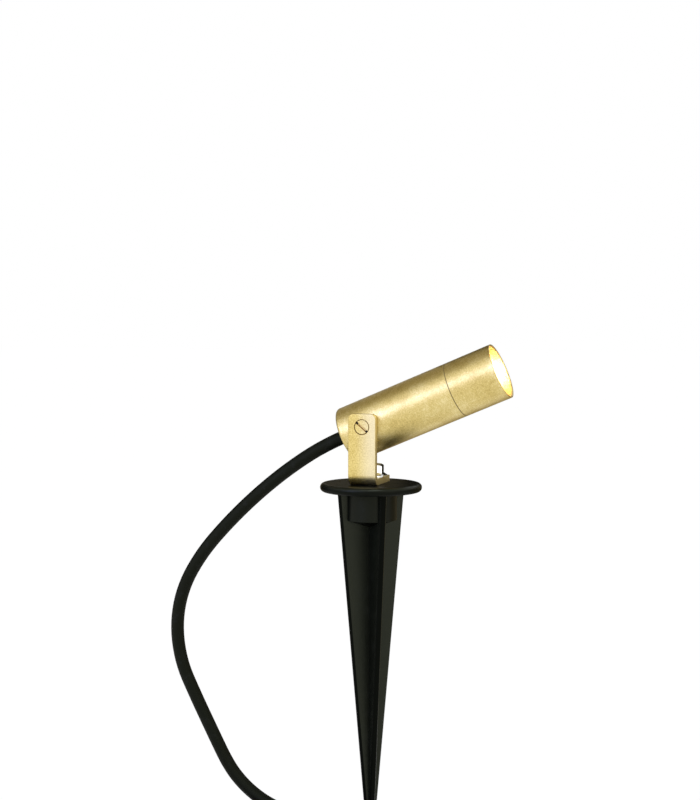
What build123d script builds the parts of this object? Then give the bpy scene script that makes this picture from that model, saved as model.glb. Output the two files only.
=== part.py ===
from build123d import *
import os
from math import cos, pi, radians, sin, tan

os.makedirs("parts", exist_ok=True)

# Garden spike spotlight, in millimetres, +Z up. The origin is the centre of the flange's underside,
# which rests on the ground, so the spike reaches below it. The beam points to +X and upwards, and
# the bracket's single ear stands on the -Y side of the head.

# ---- Driving dimensions ----

# Ground spike: one plastic moulding
FLANGE_R = 30.0
FLANGE_T = 5.0
FLANGE_EDGE_R = 2.4
SPIKE_LENGTH = 215.0
BLADE_R = 20.8  # from the axis to a blade's edge, at the flange
BLADE_TIP_R = 2.05  # the same, where the point starts
BLADE_T = 3.5
BLADE_EDGE_R = 1.2
BLADE_TURN = 39.5  # degrees, from -Y towards +X, of one of the four blades
POINT_LENGTH = 9.0
POINT_W = 2.0
POINT_T = 1.2
POINT_EDGE_R = 0.4
BOSS_R = 15.4
BOSS_DEPTH = 16.6
BOSS_DROP = 5.3  # how much deeper the boss's sloping floor is at the axis

# Threaded insert and hexagon flange bolt, M8
BOLT_R = 4.0
BOLT_FLATS = 14.0  # across the hexagon's flats
BOLT_HEAD_H = 7.2
BOLT_TOP_R = 6.5  # of the chamfered hexagon's flat top
BOLT_TOP_SLOPE = 30.0  # degrees
BOLT_FLANGE_R = 9.6
BOLT_FLANGE_RIM = 0.9
BOLT_FLANGE_H = 2.6
BOLT_GRIP = 12.0  # length below the bracket
BOLT_TURN = 38.0  # degrees, of one corner of the hexagon from +X
INSERT_WALL = 2.0
INSERT_L = 13.0
THREAD_GAP = 0.03  # threads are drawn as plain cylinders

# Bracket: one folded brass strip
STRIP_W = 16.5
STRIP_T = 4.0
EAR_FRONT_Y = -18.3
EAR_PAST_PIVOT = 7.6  # from the pivot's axis to the ear's top
EAR_CORNER_R = 3.0
PLATE_BACK_Y = 11.0
FOLD_R = 2.0  # inside the fold
STRIP_EDGE_R = 0.35
BOLT_HOLE_GAP = 0.3

# Tilt pivot
PIVOT_Z = 39.0
TILT = 23.0  # degrees above the horizon, as photographed
PIVOT_HEAD_R = 4.2
PIVOT_HEAD_H = 2.4
PIVOT_PROUD = 0.1  # how far the screw's head stands out of the ear
PIVOT_EDGE_R = 0.35
PIVOT_SLOT_W = 1.0
PIVOT_SLOT_DEPTH = 1.2
PIVOT_SLOT_TURN = 40.0
PIVOT_SHOULDER_R = 3.0
PIVOT_THREAD_R = 2.5
PIVOT_THREAD_L = 7.0
PIVOT_FIT = 0.05
COUNTERBORE_GAP = 0.3  # around the screw's head
SPOT_R = 7.5
SPOT_DEPTH = 0.8
SIDE_GAP = 0.3  # between the ear and the barrel
WASHER_R = 4.9

# Barrel and hood: stations along the beam, counted from the pivot
HEAD_R = 16.5
REAR = -16.2
REAR_EDGE_R = 1.5
HOOD_L = 28.4
SEAM_CHAMFER = 0.2
BARREL_WALL = 3.3
REAR_WALL_END = 9.0
SPIGOT_L = 7.0
THREAD_WALL = 1.55  # the hood's wall round the spigot
SLIP_GAP = 0.05  # around each turned piece in its bore
HOOD_WALL = 1.2  # at the mouth
MOUTH_CHAMFER = 0.6
LEDGE_T = 1.4
LEDGE_W = 1.5  # how far it reaches over the glass

# Front glass and its two seals
GLASS_WALL = 2.35  # the hood's wall round the glass
GLASS_T = 2.5
SEAL_T = 0.7
GASKET_T = 0.6
SEAL_INSET = 0.4  # from the spigot's edge

# Light engine
SINK_T = 9.0
PAD_T = 0.25
LED_BOARD_GAP = 0.35  # to the lens holder round it
LED_BOARD_T = 1.6
LED_SCREW_CLEAR = 1.0  # from a screw's head to the emitter
LED_T = 0.9
LED_DOME_INSET = 0.8
LED_DOME_H = 0.5
LED_DOME_EDGE_R = 0.4
OPTIC_L = 10.2
OPTIC_GAP = 0.35
OPTIC_WELL_GAP = 0.4  # round the emitter's dome
OPTIC_WELL_WALL = 1.1
OPTIC_WELL_L = 3.6
OPTIC_RIM_T = 1.2
FLANK_MID_AT = 0.42  # a point that shapes the lens's flank, as a share of its length
FLANK_MID_OUT = 0.62  # and of its flare
HOLDER_WALL = 2.0
HOLDER_STEP = 0.6
LED_SCREW_INSET = 3.2  # from the board's edge
LED_SCREW_R = 1.2
LED_SCREW_HEAD_R = 2.1
LED_SCREW_HEAD_H = 1.4
LED_SCREW_EDGE_R = 0.55
LED_SCREW_L = 5.0
HOLE_GAP = 0.25  # around the screws and wires that pass through the light engine

# Driver in its insulating sleeve
SLEEVE_T = 0.6
SLEEVE_PAST_WALL = 2.0
SLEEVE_END_GAP = 0.5
BOARD_INSET = 5.0  # from the sleeve's rear end to the board
BOARD_L = 21.0
BOARD_END_INSET = 1.3  # from the board to the sleeve's front end
BOARD_T = 1.6
BOARD_DROP = 4.6  # from the axis to the board's underside
BOARD_EDGE_GAP = 0.1
TERMINAL_L = 7.0
TERMINAL_W = 10.0
TERMINAL_H = 7.0
TERMINAL_PITCH = 5.0
TERMINAL_INSET = 0.5
CLAMP_SCREW_R = 1.4
CLAMP_SCREW_H = 0.8
CLAMP_SLOT_W = 0.5
CAPACITOR_R = 3.8
CAPACITOR_L = 10.5
CAPACITOR_EDGE_R = 0.25
INDUCTOR_R = 3.4
WINDING_R = 2.9
INDUCTOR_H = 5.5
CHIP_L = 3.2
CHIP_W = 4.2
CHIP_H = 1.6
PART_SPACING = 1.0
WIRE_LIFT = 0.1  # of the wires above the board

# Cable gland, let into the barrel's rear
GLAND_WALL = 3.0  # round the cable
GLAND_NUT_L = 4.5
GLAND_NUT_SINK = 0.2
BUSH_L = 4.4
SPANNER_HOLE_R = 0.8
SPANNER_HOLE_DEPTH = 2.0

# Cable: round two-core rubber flex
CABLE_R = 4.0
CABLE_GAP = 0.05
ENTRY_GAP = 0.3  # around the cable, in the ring nut and the barrel's rear wall
STUB_PAST_WALL = 1.0  # how far the jacket reaches into the barrel
LEAD_REACH = 30.0  # from the pivot to where the lead meets the rest of the cable
TILT_GAP = 0.3
CORE_R = 1.2
CORE_SPACING = 1.5  # of each core's centre from the cable's
LED_WIRE_R = 0.8
LED_WIRE_BESIDE = 0.7  # from the emitter's side
FERRULE_R = 1.5
FERRULE_L = 8.0

# The cable's spare length: a tied coil of two layers of three turns
COIL_MEAN_R = 43.0
TURN_PITCH = 8.2
COIL_COLUMNS = 3
COIL_ROWS = 2
COIL_X = -61.2
COIL_Y = -43.0
TIE_T = 1.2
TIE_W = 3.6
TIE_GAP = 0.1
TIE_LOCK_SIDE = 5.0
TIE_LOCK_T = 4.0
TIE_TURNS = (-45.0, 160.0)
LANDING_TURN = 75.0  # where the cable meets the coil, in its upper layer
TAIL_TURN = 30.0  # where its end leaves the lower layer

# ---- Places worked out from them ----

FLOOR_Z = -SPIKE_LENGTH
INSERT_R = BOLT_R + INSERT_WALL
PLATE_TOP_Z = FLANGE_T + STRIP_T
EAR_BACK_Y = EAR_FRONT_Y + STRIP_T
EAR_TOP_Z = PIVOT_Z + EAR_PAST_PIVOT
AXIS_Y = EAR_BACK_Y + SIDE_GAP + HEAD_R
SPOT_AT = SPOT_DEPTH - HEAD_R  # across the beam, from the axis
WASHER_T = SIDE_GAP + SPOT_DEPTH
BORE_R = HEAD_R - BARREL_WALL
SPIGOT_R = HEAD_R - THREAD_WALL - SLIP_GAP
HOOD_BORE_R = HEAD_R - HOOD_WALL
GLASS_R = HEAD_R - GLASS_WALL - SLIP_GAP
LEDGE_R = GLASS_R - LEDGE_W
SEAL_R = SPIGOT_R - SEAL_INSET
INNER_R = BORE_R - SLIP_GAP  # of all that is slipped into the bore
LED_BOARD_R = INNER_R - HOLDER_WALL - LED_BOARD_GAP
LED_SCREW_AT = LED_BOARD_R - LED_SCREW_INSET
LED_SIDE = 2 * (LED_SCREW_AT - LED_SCREW_HEAD_R - LED_SCREW_CLEAR)
LED_WIRE_AT = LED_SIDE / 2 + LED_WIRE_BESIDE
LED_DOME_R = LED_SIDE / 2 - LED_DOME_INSET
OPTIC_WELL_R = LED_DOME_R + OPTIC_WELL_GAP
OPTIC_REAR_R = OPTIC_WELL_R + OPTIC_WELL_WALL
GLAND_R = CABLE_R + GLAND_WALL
STUB_TO = REAR_WALL_END + STUB_PAST_WALL
SLEEVE_FROM = REAR_WALL_END + SLEEVE_PAST_WALL
BOARD_FROM = SLEEVE_FROM + BOARD_INSET
SLEEVE_END = BOARD_FROM + BOARD_L + BOARD_END_INSET
SINK_FROM = SLEEVE_END + SLEEVE_END_GAP
SINK_END = SINK_FROM + SINK_T
LED_BOARD_FROM = SINK_END + PAD_T
LED_FROM = LED_BOARD_FROM + LED_BOARD_T
OPTIC_FROM = LED_FROM + LED_T + LED_DOME_H + OPTIC_GAP
OPTIC_END = OPTIC_FROM + OPTIC_L
SPIGOT_END = OPTIC_END + SEAL_T
SEAM = SPIGOT_END - SPIGOT_L
GLASS_FROM = SPIGOT_END + SEAL_T
GASKET_FROM = GLASS_FROM + GLASS_T
LEDGE_FROM = GASKET_FROM + GASKET_T
LEDGE_END = LEDGE_FROM + LEDGE_T
FRONT = SEAM + HOOD_L
BOARD_TOP = BOARD_T - BOARD_DROP
TERMINAL_FROM = BOARD_FROM + TERMINAL_INSET
PARTS_FROM = TERMINAL_FROM + TERMINAL_L + PART_SPACING
COIL_W = (COIL_COLUMNS - 1) * TURN_PITCH + 2 * CABLE_R
COIL_H = (COIL_ROWS - 1) * TURN_PITCH + 2 * CABLE_R
COIL_LOW_Z = FLOOR_Z + TIE_T + TIE_GAP
COIL_MID_Z = COIL_LOW_Z + COIL_H / 2
COIL_TOP_ROW_Z = COIL_LOW_Z + COIL_H - CABLE_R
COIL_LOW_ROW_Z = COIL_LOW_Z + CABLE_R
COIL_OUTER_TURN_R = COIL_MEAN_R + (COIL_W - 2 * CABLE_R) / 2
BEAM = Pos(0, AXIS_Y, PIVOT_Z) * Rot(0, -TILT, 0)  # stands a piece drawn along +X on the beam's axis


def save(name, *solids):
    """Write one node, as one solid or as a group of identical or paired ones."""
    shape = solids[0] if len(solids) == 1 else Compound(children=list(solids))
    export_step(shape, f"parts/{name}.step")


def rod(start, end, radius):
    """A cylinder along +X between two stations."""
    return Pos(start, 0, 0) * Rot(0, 90, 0) * Cylinder(
        radius, end - start, align=(Align.CENTER, Align.CENTER, Align.MIN)
    )


def ring(start, end, outer, inner):
    """A tube along +X between two stations."""
    return rod(start, end, outer) - rod(start, end, inner)


def block(start, end, y_low, y_high, z_low, z_high):
    """A box by its limits."""
    middle = ((start + end) / 2, (y_low + y_high) / 2, (z_low + z_high) / 2)
    return Pos(*middle) * Box(end - start, y_high - y_low, z_high - z_low)


def bend_radii(points):
    """The largest arc that the two runs at each corner of a route leave room for."""
    radii = []
    for before, corner, after in zip(points, points[1:], points[2:]):
        turn = (corner - before).get_angle(after - corner)
        shorter = min((corner - before).length, (after - corner).length)
        radii.append(0.45 * shorter / tan(radians(turn) / 2))
    return radii


def rounded_radii(points):
    """A route's bends, in whole millimetres."""
    return [round(r) for r in bend_radii([Vector(*p) for p in points])]


def tube(points, radius):
    """A round tube along a route of straight runs joined by arcs, and its length."""
    route = [Vector(*p) for p in points]
    line = FilletPolyline(*route, radius=bend_radii(route))
    section = Plane(origin=line @ 0, z_dir=line % 0) * Circle(radius)
    return sweep(section, path=line), line.length


# ---- Ground spike ----


def make_spike():
    """The flange, the boss that holds the insert, and four tapering blades."""
    flange = Cylinder(FLANGE_R, FLANGE_T, align=(Align.CENTER, Align.CENTER, Align.MIN))
    flange = fillet(flange.edges().filter_by(GeomType.CIRCLE), FLANGE_EDGE_R)
    boss = Pos(0, 0, -BOSS_DEPTH) * Cylinder(
        BOSS_R, BOSS_DEPTH, align=(Align.CENTER, Align.CENTER, Align.MIN)
    )
    boss_floor = Pos(0, 0, -BOSS_DEPTH) * Cone(
        0, BOSS_R, BOSS_DROP, align=(Align.CENTER, Align.CENTER, Align.MAX)
    )
    blade = loft(
        [
            RectangleRounded(2 * BLADE_R, BLADE_T, BLADE_EDGE_R),
            Pos(0, 0, POINT_LENGTH - SPIKE_LENGTH)
            * RectangleRounded(2 * BLADE_TIP_R, BLADE_T, BLADE_EDGE_R),
            Pos(0, 0, -SPIKE_LENGTH) * RectangleRounded(POINT_W, POINT_T, POINT_EDGE_R),
        ],
        ruled=True,
    )
    cross = Rot(0, 0, BLADE_TURN - 90) * blade + Rot(0, 0, BLADE_TURN) * blade
    hole = Pos(0, 0, FLANGE_T) * Cylinder(
        INSERT_R + THREAD_GAP,
        INSERT_L + THREAD_GAP,
        align=(Align.CENTER, Align.CENTER, Align.MAX),
    )
    return flange + boss + boss_floor + cross - hole


def make_insert():
    """A brass bush with an M8 thread, moulded into the boss flush with the flange's top."""
    bush = Cylinder(INSERT_R, INSERT_L, align=(Align.CENTER, Align.CENTER, Align.MAX))
    bush -= Cylinder(BOLT_R + THREAD_GAP, INSERT_L, align=(Align.CENTER, Align.CENTER, Align.MAX))
    return Pos(0, 0, FLANGE_T) * bush


def make_bolt():
    """The bracket turns on this bolt, whose hexagon grows out of a sloping round flange."""
    corner_r = BOLT_FLATS / 2 / cos(radians(30))
    hexagon = extrude(RegularPolygon(corner_r, 6), BOLT_HEAD_H)
    crown_h = (corner_r - BOLT_TOP_R) * tan(radians(BOLT_TOP_SLOPE))
    crown = Cylinder(
        corner_r, BOLT_HEAD_H - crown_h, align=(Align.CENTER, Align.CENTER, Align.MIN)
    ) + Pos(0, 0, BOLT_HEAD_H - crown_h) * Cone(
        corner_r, BOLT_TOP_R, crown_h, align=(Align.CENTER, Align.CENTER, Align.MIN)
    )
    collar = Cylinder(BOLT_FLANGE_R, BOLT_FLANGE_RIM, align=(Align.CENTER, Align.CENTER, Align.MIN))
    collar += Pos(0, 0, BOLT_FLANGE_RIM) * Cone(
        BOLT_FLANGE_R,
        BOLT_FLATS / 2,
        BOLT_FLANGE_H - BOLT_FLANGE_RIM,
        align=(Align.CENTER, Align.CENTER, Align.MIN),
    )
    shank = Cylinder(BOLT_R, STRIP_T + BOLT_GRIP, align=(Align.CENTER, Align.CENTER, Align.MAX))
    return Pos(0, 0, PLATE_TOP_Z) * Rot(0, 0, BOLT_TURN) * (hexagon & crown) + Pos(
        0, 0, PLATE_TOP_Z
    ) * (collar + shank)


# ---- Bracket and tilt pivot ----


def make_bracket():
    """The strip folded into an L: a plate under the bolt and one ear beside the head."""
    plate = block(
        -STRIP_W / 2, STRIP_W / 2, EAR_FRONT_Y, PLATE_BACK_Y, FLANGE_T, PLATE_TOP_Z
    )
    ear = block(-STRIP_W / 2, STRIP_W / 2, EAR_FRONT_Y, EAR_BACK_Y, FLANGE_T, EAR_TOP_Z)
    ear_corners = ear.edges().filter_by(Axis.Y).group_by(Axis.Z)[-1]
    ear = fillet(ear_corners, EAR_CORNER_R)
    strip = plate + ear
    across = strip.edges().filter_by(Axis.X)
    outside = across.group_by(Axis.Z)[0].sort_by(Axis.Y)[0]
    strip = fillet(outside, FOLD_R + STRIP_T)
    inside = (
        strip.edges()
        .filter_by(Axis.X)
        .filter_by(lambda e: abs(e.center().Z - PLATE_TOP_Z) < 0.01)
        .sort_by(Axis.Y)[0]
    )
    strip = fillet(inside, FOLD_R)
    sides = strip.faces().filter_by(Axis.X)
    strip = fillet(sides.edges(), STRIP_EDGE_R)
    strip -= Pos(0, 0, FLANGE_T) * Cylinder(
        BOLT_R + BOLT_HOLE_GAP, STRIP_T, align=(Align.CENTER, Align.CENTER, Align.MIN)
    )
    across_ear = Pos(0, EAR_FRONT_Y, PIVOT_Z) * Rot(-90, 0, 0)
    strip -= across_ear * Cylinder(
        PIVOT_SHOULDER_R + PIVOT_FIT, STRIP_T, align=(Align.CENTER, Align.CENTER, Align.MIN)
    )
    strip -= across_ear * Cylinder(
        PIVOT_HEAD_R + COUNTERBORE_GAP,
        PIVOT_HEAD_H - PIVOT_PROUD,
        align=(Align.CENTER, Align.CENTER, Align.MIN),
    )
    return strip


def make_pivot_screw():
    """A slotted cheese-head shoulder screw: the ear turns on its shoulder, its thread is in the barrel."""
    head = Cylinder(PIVOT_HEAD_R, PIVOT_HEAD_H, align=(Align.CENTER, Align.CENTER, Align.MIN))
    head = fillet(head.edges().group_by(Axis.Z)[0], PIVOT_EDGE_R)
    head -= Rot(0, 0, PIVOT_SLOT_TURN) * block(
        -PIVOT_HEAD_R, PIVOT_HEAD_R, -PIVOT_SLOT_W / 2, PIVOT_SLOT_W / 2, 0, PIVOT_SLOT_DEPTH
    )
    under_head = PIVOT_HEAD_H
    shoulder_l = STRIP_T - (PIVOT_HEAD_H - PIVOT_PROUD) + WASHER_T
    shoulder = Pos(0, 0, under_head) * Cylinder(
        PIVOT_SHOULDER_R, shoulder_l, align=(Align.CENTER, Align.CENTER, Align.MIN)
    )
    thread = Pos(0, 0, under_head + shoulder_l) * Cylinder(
        PIVOT_THREAD_R, PIVOT_THREAD_L, align=(Align.CENTER, Align.CENTER, Align.MIN)
    )
    return Pos(0, EAR_FRONT_Y - PIVOT_PROUD, PIVOT_Z) * Rot(-90, 0, 0) * (head + shoulder + thread)


def make_friction_washer():
    """The nylon washer that the ear is clamped against."""
    disc = Cylinder(WASHER_R, WASHER_T, align=(Align.CENTER, Align.CENTER, Align.MIN))
    disc -= Cylinder(
        PIVOT_SHOULDER_R + PIVOT_FIT, WASHER_T, align=(Align.CENTER, Align.CENTER, Align.MIN)
    )
    return Pos(0, EAR_BACK_Y, PIVOT_Z) * Rot(-90, 0, 0) * disc


# ---- Barrel and hood, drawn along +X ----


def make_barrel():
    """The turned housing: solid round the pivot, bored for the light engine, threaded for the hood."""
    body = rod(REAR, SEAM, HEAD_R)
    body = fillet(body.edges().group_by(Axis.X)[0], REAR_EDGE_R)
    body = chamfer(body.edges().group_by(Axis.X)[-1], SEAM_CHAMFER)
    body += rod(SEAM, SPIGOT_END, SPIGOT_R)
    body -= rod(REAR_WALL_END, SPIGOT_END, BORE_R)
    body -= rod(REAR, REAR_WALL_END, CABLE_R + ENTRY_GAP)
    body -= rod(REAR, REAR + GLAND_NUT_SINK + GLAND_NUT_L + BUSH_L, GLAND_R)
    into_side = Pos(0, SPOT_AT, 0) * Rot(-90, 0, 0)
    body -= Pos(0, SPOT_AT, 0) * Rot(90, 0, 0) * Cylinder(
        SPOT_R, 2 * SPOT_DEPTH, align=(Align.CENTER, Align.CENTER, Align.MIN)
    )
    body -= into_side * Cylinder(
        PIVOT_THREAD_R + THREAD_GAP,
        PIVOT_THREAD_L + THREAD_GAP,
        align=(Align.CENTER, Align.CENTER, Align.MIN),
    )
    return BEAM * body


def make_hood():
    """The anti-glare hood, which screws onto the spigot and clamps the glass behind its ledge."""
    hood = rod(SEAM, FRONT, HEAD_R)
    hood = chamfer(hood.edges().group_by(Axis.X)[0], SEAM_CHAMFER)
    hood = fillet(hood.edges().group_by(Axis.X)[-1], SEAM_CHAMFER)
    hood -= rod(SEAM, GLASS_FROM, SPIGOT_R + SLIP_GAP)
    hood -= rod(GLASS_FROM, LEDGE_FROM, GLASS_R + SLIP_GAP)
    hood -= rod(LEDGE_FROM, LEDGE_END, LEDGE_R)
    hood -= rod(LEDGE_END, FRONT, HOOD_BORE_R)
    flare = Cone(
        HOOD_BORE_R,
        HOOD_BORE_R + MOUTH_CHAMFER,
        MOUTH_CHAMFER,
        align=(Align.CENTER, Align.CENTER, Align.MIN),
    )
    hood -= Pos(FRONT - MOUTH_CHAMFER, 0, 0) * Rot(0, 90, 0) * flare
    return BEAM * hood


def make_glass():
    """Toughened front glass with ground edges."""
    glass = rod(GLASS_FROM, GASKET_FROM, GLASS_R)
    return BEAM * chamfer(glass.edges().filter_by(GeomType.CIRCLE), SEAM_CHAMFER)


def make_optic():
    """A collimating lens: a well over the emitter, flared flanks and a thin rim."""
    rim_r = INNER_R - HOLDER_WALL + HOLDER_STEP - SLIP_GAP
    flank_r = rim_r - HOLDER_STEP
    rim_from = OPTIC_END - OPTIC_RIM_T
    flank_bulge = OPTIC_REAR_R + (flank_r - OPTIC_REAR_R) * FLANK_MID_OUT
    flank_mid = OPTIC_FROM + (rim_from - OPTIC_FROM) * FLANK_MID_AT
    flank = ThreePointArc((OPTIC_FROM, OPTIC_REAR_R), (flank_mid, flank_bulge), (rim_from, flank_r))
    rest = Polyline(
        (rim_from, flank_r),
        (rim_from, rim_r),
        (OPTIC_END, rim_r),
        (OPTIC_END, 0),
        (OPTIC_FROM + OPTIC_WELL_L, 0),
        (OPTIC_FROM + OPTIC_WELL_L, OPTIC_WELL_R),
        (OPTIC_FROM, OPTIC_WELL_R),
        (OPTIC_FROM, OPTIC_REAR_R),
    )
    return BEAM * revolve(make_face(flank + rest), Axis.X)


def make_optic_holder():
    """A moulded tube that stands on the heat sink and carries the lens by its rim."""
    holder = ring(SINK_END, SPIGOT_END, INNER_R, INNER_R - HOLDER_WALL)
    step = rod(OPTIC_END - OPTIC_RIM_T, SPIGOT_END, INNER_R - HOLDER_WALL + HOLDER_STEP)
    return BEAM * (holder - step)


def make_led_board():
    """A round aluminium-core board, drilled for its screws and its two wires."""
    board = rod(LED_BOARD_FROM, LED_FROM, LED_BOARD_R)
    for side in (-1, 1):
        board -= Pos(0, 0, side * LED_SCREW_AT) * rod(LED_BOARD_FROM, LED_FROM, LED_SCREW_R + HOLE_GAP)
        board -= Pos(0, side * LED_WIRE_AT, 0) * rod(LED_BOARD_FROM, LED_FROM, LED_WIRE_R + HOLE_GAP)
    return BEAM * board


def make_led():
    """The chip-on-board emitter: a square carrier with a domed phosphor."""
    half = LED_SIDE / 2
    carrier = block(LED_FROM, LED_FROM + LED_T, -half, half, -half, half)
    carrier -= Pos(0, LED_WIRE_AT, 0) * rod(LED_FROM, LED_FROM + LED_T, LED_WIRE_R + HOLE_GAP)
    carrier -= Pos(0, -LED_WIRE_AT, 0) * rod(LED_FROM, LED_FROM + LED_T, LED_WIRE_R + HOLE_GAP)
    dome = rod(LED_FROM + LED_T, LED_FROM + LED_T + LED_DOME_H, LED_DOME_R)
    dome = fillet(dome.edges().group_by(Axis.X)[-1], LED_DOME_EDGE_R)
    return BEAM * (carrier + dome)


def make_heat_sink():
    """A turned aluminium plug, pressed in behind the light source."""
    plug = rod(SINK_FROM, SINK_END, INNER_R)
    for side in (-1, 1):
        plug -= Pos(0, 0, side * LED_SCREW_AT) * rod(
            SINK_END - LED_SCREW_L, SINK_END, LED_SCREW_R + THREAD_GAP
        )
        plug -= Pos(0, side * LED_WIRE_AT, 0) * rod(SINK_FROM, SINK_END, LED_WIRE_R + HOLE_GAP)
    return BEAM * plug


def make_thermal_pad():
    """Heat-conducting pad between the plug and the LED board."""
    pad = rod(SINK_END, LED_BOARD_FROM, LED_BOARD_R)
    for side in (-1, 1):
        pad -= Pos(0, 0, side * LED_SCREW_AT) * rod(SINK_END, LED_BOARD_FROM, LED_SCREW_R + HOLE_GAP)
        pad -= Pos(0, side * LED_WIRE_AT, 0) * rod(SINK_END, LED_BOARD_FROM, LED_WIRE_R + HOLE_GAP)
    return BEAM * pad


def make_led_screw(side):
    """One of the two pan-head screws that hold the LED board."""
    head = rod(LED_FROM, LED_FROM + LED_SCREW_HEAD_H, LED_SCREW_HEAD_R)
    head = fillet(head.edges().group_by(Axis.X)[-1], LED_SCREW_EDGE_R)
    shank = rod(LED_FROM - LED_SCREW_L, LED_FROM, LED_SCREW_R)
    return BEAM * Pos(0, 0, side * LED_SCREW_AT) * (head + shank)


# ---- Driver ----


def make_sleeve():
    """Insulating tube between the driver and the brass."""
    return BEAM * ring(SLEEVE_FROM, SLEEVE_END, INNER_R, INNER_R - SLEEVE_T)


def make_driver_board():
    """The board lies along the barrel and is held by its long edges in the sleeve."""
    inside = INNER_R - SLEEVE_T - BOARD_EDGE_GAP
    half_w = (inside**2 - BOARD_DROP**2) ** 0.5
    return BEAM * block(
        BOARD_FROM, BOARD_FROM + BOARD_L, -half_w, half_w, -BOARD_DROP, BOARD_TOP
    )


def make_terminal():
    """Two-way screw terminal: wires enter from the rear, clamp screws sit on top."""
    half = TERMINAL_W / 2
    end = TERMINAL_FROM + TERMINAL_L
    body = block(TERMINAL_FROM, end, -half, half, BOARD_TOP, BOARD_TOP + TERMINAL_H)
    for side in (-1, 1):
        way = side * TERMINAL_PITCH / 2
        wire_z = BOARD_TOP + TERMINAL_H / 2
        body -= Pos(0, way, wire_z) * rod(
            TERMINAL_FROM, TERMINAL_FROM + TERMINAL_L / 2, CORE_R + CABLE_GAP
        )
        body -= Pos(TERMINAL_FROM + TERMINAL_L / 2, way, BOARD_TOP + TERMINAL_H) * Cylinder(
            CLAMP_SCREW_R + CABLE_GAP, 2 * CLAMP_SCREW_H
        )
    return BEAM * body


def make_clamp_screw(side):
    """One of the terminal's two clamp screws, with its slot across the wire."""
    at = Pos(
        TERMINAL_FROM + TERMINAL_L / 2,
        side * TERMINAL_PITCH / 2,
        BOARD_TOP + TERMINAL_H - CLAMP_SCREW_H,
    )
    head = Cylinder(CLAMP_SCREW_R, CLAMP_SCREW_H, align=(Align.CENTER, Align.CENTER, Align.MIN))
    slot = block(
        -CLAMP_SCREW_R, CLAMP_SCREW_R, -CLAMP_SLOT_W / 2, CLAMP_SLOT_W / 2, CLAMP_SCREW_H / 2, CLAMP_SCREW_H
    )
    return BEAM * at * (head - slot)


def make_capacitor():
    """The smoothing capacitor lies on the board, along the barrel."""
    can = rod(PARTS_FROM, PARTS_FROM + CAPACITOR_L, CAPACITOR_R)
    can = fillet(can.edges().filter_by(GeomType.CIRCLE), CAPACITOR_EDGE_R)
    return BEAM * Pos(0, CAPACITOR_R + PART_SPACING, BOARD_TOP + CAPACITOR_R) * can


def make_inductor():
    """A ferrite drum: two round cheeks with the winding between them."""
    core = Cylinder(INDUCTOR_R, INDUCTOR_H, align=(Align.CENTER, Align.CENTER, Align.MIN))
    waist = Pos(0, 0, INDUCTOR_H / 2) * (
        Cylinder(INDUCTOR_R, INDUCTOR_H / 2) - Cylinder(WINDING_R, INDUCTOR_H / 2)
    )
    at = Pos(PARTS_FROM + INDUCTOR_R, -INDUCTOR_R - PART_SPACING, BOARD_TOP)
    return BEAM * at * (core - waist)


def make_chip():
    """The converter chip, beside the inductor."""
    start = PARTS_FROM + 2 * INDUCTOR_R + PART_SPACING
    middle = -INDUCTOR_R - PART_SPACING
    return BEAM * block(
        start,
        start + CHIP_L,
        middle - CHIP_W / 2,
        middle + CHIP_W / 2,
        BOARD_TOP,
        BOARD_TOP + CHIP_H,
    )


def make_led_wire(side):
    """One of the two wires from the driver through the heat sink to the LED board."""
    start = BOARD_FROM + BOARD_L - PART_SPACING
    low = BOARD_TOP + LED_WIRE_R + WIRE_LIFT
    y = side * LED_WIRE_AT
    bend = (SINK_FROM - start) / 3
    points = [(start, y, low), (start + bend, y, low), (SINK_FROM - bend, y, 0), (SINK_FROM, y, 0)]
    wire, _ = tube(points, LED_WIRE_R)
    return BEAM * (wire + Pos(0, y, 0) * rod(SINK_FROM, LED_FROM, LED_WIRE_R))


# ---- Cable gland and what is inside the housing ----


def make_gland_nut():
    """A flush brass ring nut with two spanner holes. It squeezes the bush onto the cable."""
    start = REAR + GLAND_NUT_SINK
    nut = ring(start, start + GLAND_NUT_L, GLAND_R - THREAD_GAP, CABLE_R + ENTRY_GAP)
    nut = chamfer(nut.edges().filter_by(GeomType.CIRCLE).group_by(Axis.X)[0], SEAM_CHAMFER)
    hole_at = (GLAND_R + CABLE_R + ENTRY_GAP) / 2
    for side in (-1, 1):
        nut -= Pos(0, side * hole_at, 0) * rod(start, start + SPANNER_HOLE_DEPTH, SPANNER_HOLE_R)
    return BEAM * nut


def make_gland_bush():
    """The rubber bush that seals on the cable."""
    start = REAR + GLAND_NUT_SINK + GLAND_NUT_L
    return BEAM * ring(start, start + BUSH_L, GLAND_R - CABLE_GAP, CABLE_R + CABLE_GAP)


def make_input_core(side):
    """One insulated core, from the cable's stripped end into the terminal."""
    start, end = STUB_TO, TERMINAL_FROM + TERMINAL_L / 2
    way, wire_z = side * TERMINAL_PITCH / 2, BOARD_TOP + TERMINAL_H / 2
    near = side * CORE_SPACING
    reach = (TERMINAL_FROM - start) / 3
    points = [
        (start, near, 0),
        (start + reach, near, 0),
        (TERMINAL_FROM - reach, way, wire_z),
        (TERMINAL_FROM, way, wire_z),
    ]
    core, _ = tube(points, CORE_R)
    return BEAM * (core + Pos(0, way, wire_z) * rod(TERMINAL_FROM, end - PART_SPACING, CORE_R))


# ---- The free cable ----


def on_coil(turn, z, ahead):
    """A point ahead of where the outer turn has this bearing, along the way it is wound."""
    side, along = radians(turn), radians(turn - 90)
    return (
        COIL_X + COIL_OUTER_TURN_R * cos(side) + ahead * cos(along),
        COIL_Y + COIL_OUTER_TURN_R * sin(side) + ahead * sin(along),
        z,
    )


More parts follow.
